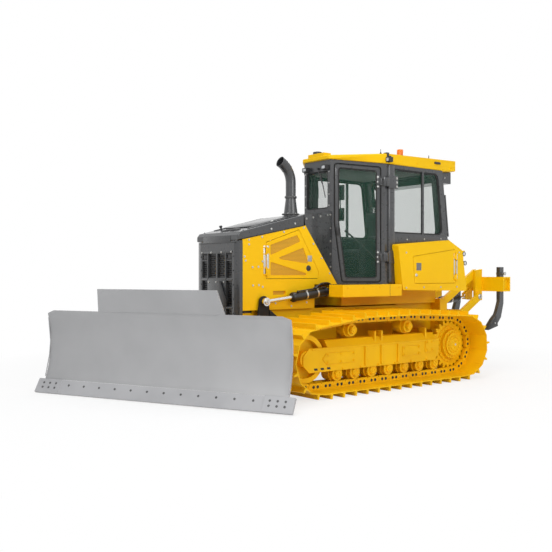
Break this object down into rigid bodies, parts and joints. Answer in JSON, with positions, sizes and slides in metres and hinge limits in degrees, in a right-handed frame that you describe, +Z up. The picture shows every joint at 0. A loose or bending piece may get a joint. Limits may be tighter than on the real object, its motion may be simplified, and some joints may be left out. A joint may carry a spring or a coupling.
{
  "type": "crawler bulldozer",
  "caption": "Crawler bulldozer with an angled blade, glazed cab, rear ripper, wide tracks, working cylinders and opening doors.",
  "frame": {"origin": "on the ground under the grouser tips, on the machine's centre plane, midway between idler and sprocket", "axes": "+X forward, +Y to the operator's left, +Z up"},
  "size_m": [6.5786, 3.251, 3.1165],
  "materials": {
    "yellow_paint": "semi-gloss",
    "charcoal_paint": "satin",
    "pale_paint": "satin",
    "edge_steel": "worn",
    "black_paint": "satin",
    "rod_chrome": "polished",
    "tinted_glass": "clear",
    "seat_fabric": "woven",
    "dark_plastic": "matte",
    "amber_plastic": "gloss",
    "engine_iron": "rough"
  },
  "bodies": {
    "chassis": {"main_frame": "yellow_paint", "platform": "yellow_paint", "decks": "yellow_paint", "engine_block": "engine_iron", "radiator": "black_paint", "grille_frame": "charcoal_paint", "grille_screens": "black_paint", "side_panels": "yellow_paint", "hood": "charcoal_paint", "cowl": "charcoal_paint", "exhaust_stack": "charcoal_paint", "rear_body": "yellow_paint", "cab_frame": "charcoal_paint", "cab_roof": "yellow_paint", "cab_glass": "tinted_glass", "aircon_box": "charcoal_paint", "work_lamps": "dark_plastic", "beacon": "amber_plastic", "roof_fittings": "yellow_paint", "seat_frame": "dark_plastic", "seat_cushions": "seat_fabric", "consoles": "dark_plastic", "handrails": "charcoal_paint", "lift_brackets": "yellow_paint", "ripper_bracket": "yellow_paint", "track_frames": "yellow_paint", "track_rollers": "yellow_paint", "carrier_rollers": "yellow_paint", "idlers": "yellow_paint", "sprockets": "yellow_paint", "track_l": "yellow_paint", "track_r": "yellow_paint"},
    "c_frame": {"c_frame": "yellow_paint"},
    "lift_barrels": {"lift_barrels": "black_paint"},
    "lift_rods": {"lift_rods": "rod_chrome"},
    "blade_swivel": {"blade_swivel": "yellow_paint"},
    "angle_barrel_l": {"angle_barrel_l": "black_paint"},
    "angle_barrel_r": {"angle_barrel_r": "black_paint"},
    "angle_rod_l": {"angle_rod_l": "rod_chrome"},
    "angle_rod_r": {"angle_rod_r": "rod_chrome"},
    "blade": {"blade": "pale_paint", "blade_back": "yellow_paint", "cutting_edge": "edge_steel"},
    "tilt_barrel": {"tilt_barrel": "black_paint"},
    "tilt_rod": {"tilt_rod": "rod_chrome"},
    "ripper_lower_link": {"ripper_lower_link": "yellow_paint"},
    "ripper_upper_link": {"ripper_upper_link": "yellow_paint"},
    "ripper_beam": {"ripper_beam": "yellow_paint", "ripper_shanks": "charcoal_paint"},
    "ripper_barrels": {"ripper_barrels": "black_paint"},
    "ripper_rods": {"ripper_rods": "rod_chrome"},
    "cab_door_l": {"cab_door_l": "charcoal_paint", "door_glass_l": "tinted_glass"},
    "cab_door_r": {"cab_door_r": "charcoal_paint", "door_glass_r": "tinted_glass"},
    "engine_door_l": {"engine_door_l": "yellow_paint"},
    "engine_door_r": {"engine_door_r": "yellow_paint"},
    "service_door_l": {"service_door_l": "yellow_paint"},
    "service_door_r": {"service_door_r": "yellow_paint"},
    "cooling_fan": {"cooling_fan": "dark_plastic"}
  },
  "joints": [
    {"name": "blade_lift", "type": "hinge", "parent": "chassis", "child": "c_frame", "pos_m": [0.42, 0, 0.48], "axis": [0, 1, 0], "range_deg": [-21, 11.5]},
    {"name": "lift_barrel_swing", "type": "hinge", "parent": "chassis", "child": "lift_barrels", "pos_m": [0.41, 0, 1.2], "axis": [0, 1, 0], "range_deg": [-21.2, 11.7]},
    {"name": "lift_rod_slide", "type": "slide", "parent": "lift_barrels", "child": "lift_rods", "axis": [0.994, 0, -0.1094], "range_m": [-0.264, 0.145]},
    {"name": "blade_angle", "type": "hinge", "parent": "c_frame", "child": "blade_swivel", "pos_m": [2.15, 0, 0.46], "axis": [0, 0, -1], "range_deg": [0, 53]},
    {"name": "angle_barrel_l_swing", "type": "hinge", "parent": "c_frame", "child": "angle_barrel_l", "pos_m": [1.15, 0.565, 0.6], "axis": [0, 0, -1], "range_deg": [0, 5]},
    {"name": "angle_rod_l_slide", "type": "slide", "parent": "angle_barrel_l", "child": "angle_rod_l", "axis": [1, 0.0037, 0], "range_m": [0, 0.52]},
    {"name": "angle_barrel_r_swing", "type": "hinge", "parent": "c_frame", "child": "angle_barrel_r", "pos_m": [1.15, -0.565, 0.6], "axis": [0, 0, -1], "range_deg": [0, 5]},
    {"name": "angle_rod_r_slide", "type": "slide", "parent": "angle_barrel_r", "child": "angle_rod_r", "axis": [0.9971, 0.076, 0], "range_m": [-0.52, 0]},
    {"name": "blade_tilt", "type": "hinge", "parent": "blade_swivel", "child": "blade", "pos_m": [2.15, 0, 0.47], "axis": [0.8949, 0.4462, 0], "range_deg": [-8, 8]},
    {"name": "tilt_barrel_swing", "type": "hinge", "parent": "blade_swivel", "child": "tilt_barrel", "pos_m": [2.64623, -0.15485, 0.86], "axis": [0.8949, 0.4462, 0], "range_deg": [-4.2, 4.2]},
    {"name": "tilt_rod_slide", "type": "slide", "parent": "tilt_barrel", "child": "tilt_rod", "axis": [-0.4462, 0.8949, 0], "range_m": [-0.056, 0.056]},
    {"name": "ripper_lift", "type": "hinge", "parent": "chassis", "child": "ripper_lower_link", "pos_m": [-1.85, 0, 0.62], "axis": [0, -1, 0], "range_deg": [0, 74]},
    {"name": "ripper_upper_swing", "type": "hinge", "parent": "chassis", "child": "ripper_upper_link", "pos_m": [-1.85, 0, 0.98], "axis": [0, -1, 0], "range_deg": [0, 75]},
    {"name": "ripper_beam_swing", "type": "hinge", "parent": "ripper_lower_link", "child": "ripper_beam", "pos_m": [-2.62942, 0, 1.07], "axis": [0, -1, 0], "range_deg": [-75, 0]},
    {"name": "ripper_barrel_swing", "type": "hinge", "parent": "chassis", "child": "ripper_barrels", "pos_m": [-1.85, 0, 0.98], "axis": [0, -1, 0], "range_deg": [0, 64]},
    {"name": "ripper_rod_slide", "type": "slide", "parent": "ripper_barrels", "child": "ripper_rods", "axis": [-0.9934, 0, 0.1147], "range_m": [0, 0.397]},
    {"name": "cab_door_l_swing", "type": "hinge", "parent": "chassis", "child": "cab_door_l", "pos_m": [-0.2789, 0.74571, 2.05], "axis": [0, 0, 1], "range_deg": [0, 110]},
    {"name": "engine_door_l_swing", "type": "hinge", "parent": "chassis", "child": "engine_door_l", "pos_m": [1.394, 0.464, 1.58], "axis": [0, 0, -1], "range_deg": [0, 110]},
    {"name": "service_door_l_swing", "type": "hinge", "parent": "chassis", "child": "service_door_l", "pos_m": [-1.62, 0.914, 1.515], "axis": [0, 0, 1], "range_deg": [0, 110]},
    {"name": "cab_door_r_swing", "type": "hinge", "parent": "chassis", "child": "cab_door_r", "pos_m": [-0.2789, -0.74571, 2.05], "axis": [0, 0, -1], "range_deg": [0, 110]},
    {"name": "engine_door_r_swing", "type": "hinge", "parent": "chassis", "child": "engine_door_r", "pos_m": [1.394, -0.464, 1.58], "axis": [0, 0, 1], "range_deg": [0, 110]},
    {"name": "service_door_r_swing", "type": "hinge", "parent": "chassis", "child": "service_door_r", "pos_m": [-1.62, -0.914, 1.515], "axis": [0, 0, -1], "range_deg": [0, 110]},
    {"name": "fan_spin", "type": "hinge", "parent": "chassis", "child": "cooling_fan", "pos_m": [1.455, 0, 1.38], "axis": [1, 0, 0], "continuous": true}
  ],
  "couplings": [
    {"joint": "lift_barrel_swing", "follows": "blade_lift", "ratio": 0.99489},
    {"joint": "lift_rod_slide", "follows": "blade_lift", "m_per_rad": 0.71537},
    {"joint": "angle_barrel_l_swing", "follows": "blade_angle", "ratio": 0.086214},
    {"joint": "angle_rod_l_slide", "follows": "blade_angle", "m_per_rad": 0.55899},
    {"joint": "angle_barrel_r_swing", "follows": "blade_angle", "ratio": 0.086214},
    {"joint": "angle_rod_r_slide", "follows": "blade_angle", "m_per_rad": -0.55899},
    {"joint": "tilt_barrel_swing", "follows": "blade_tilt", "ratio": 0.5},
    {"joint": "tilt_rod_slide", "follows": "blade_tilt", "m_per_rad": -0.38968},
    {"joint": "ripper_upper_swing", "follows": "ripper_lift", "ratio": 1},
    {"joint": "ripper_beam_swing", "follows": "ripper_lift", "ratio": -1},
    {"joint": "ripper_barrel_swing", "follows": "ripper_lift", "ratio": 0.85509},
    {"joint": "ripper_rod_slide", "follows": "ripper_lift", "m_per_rad": 0.30527}
  ]
}
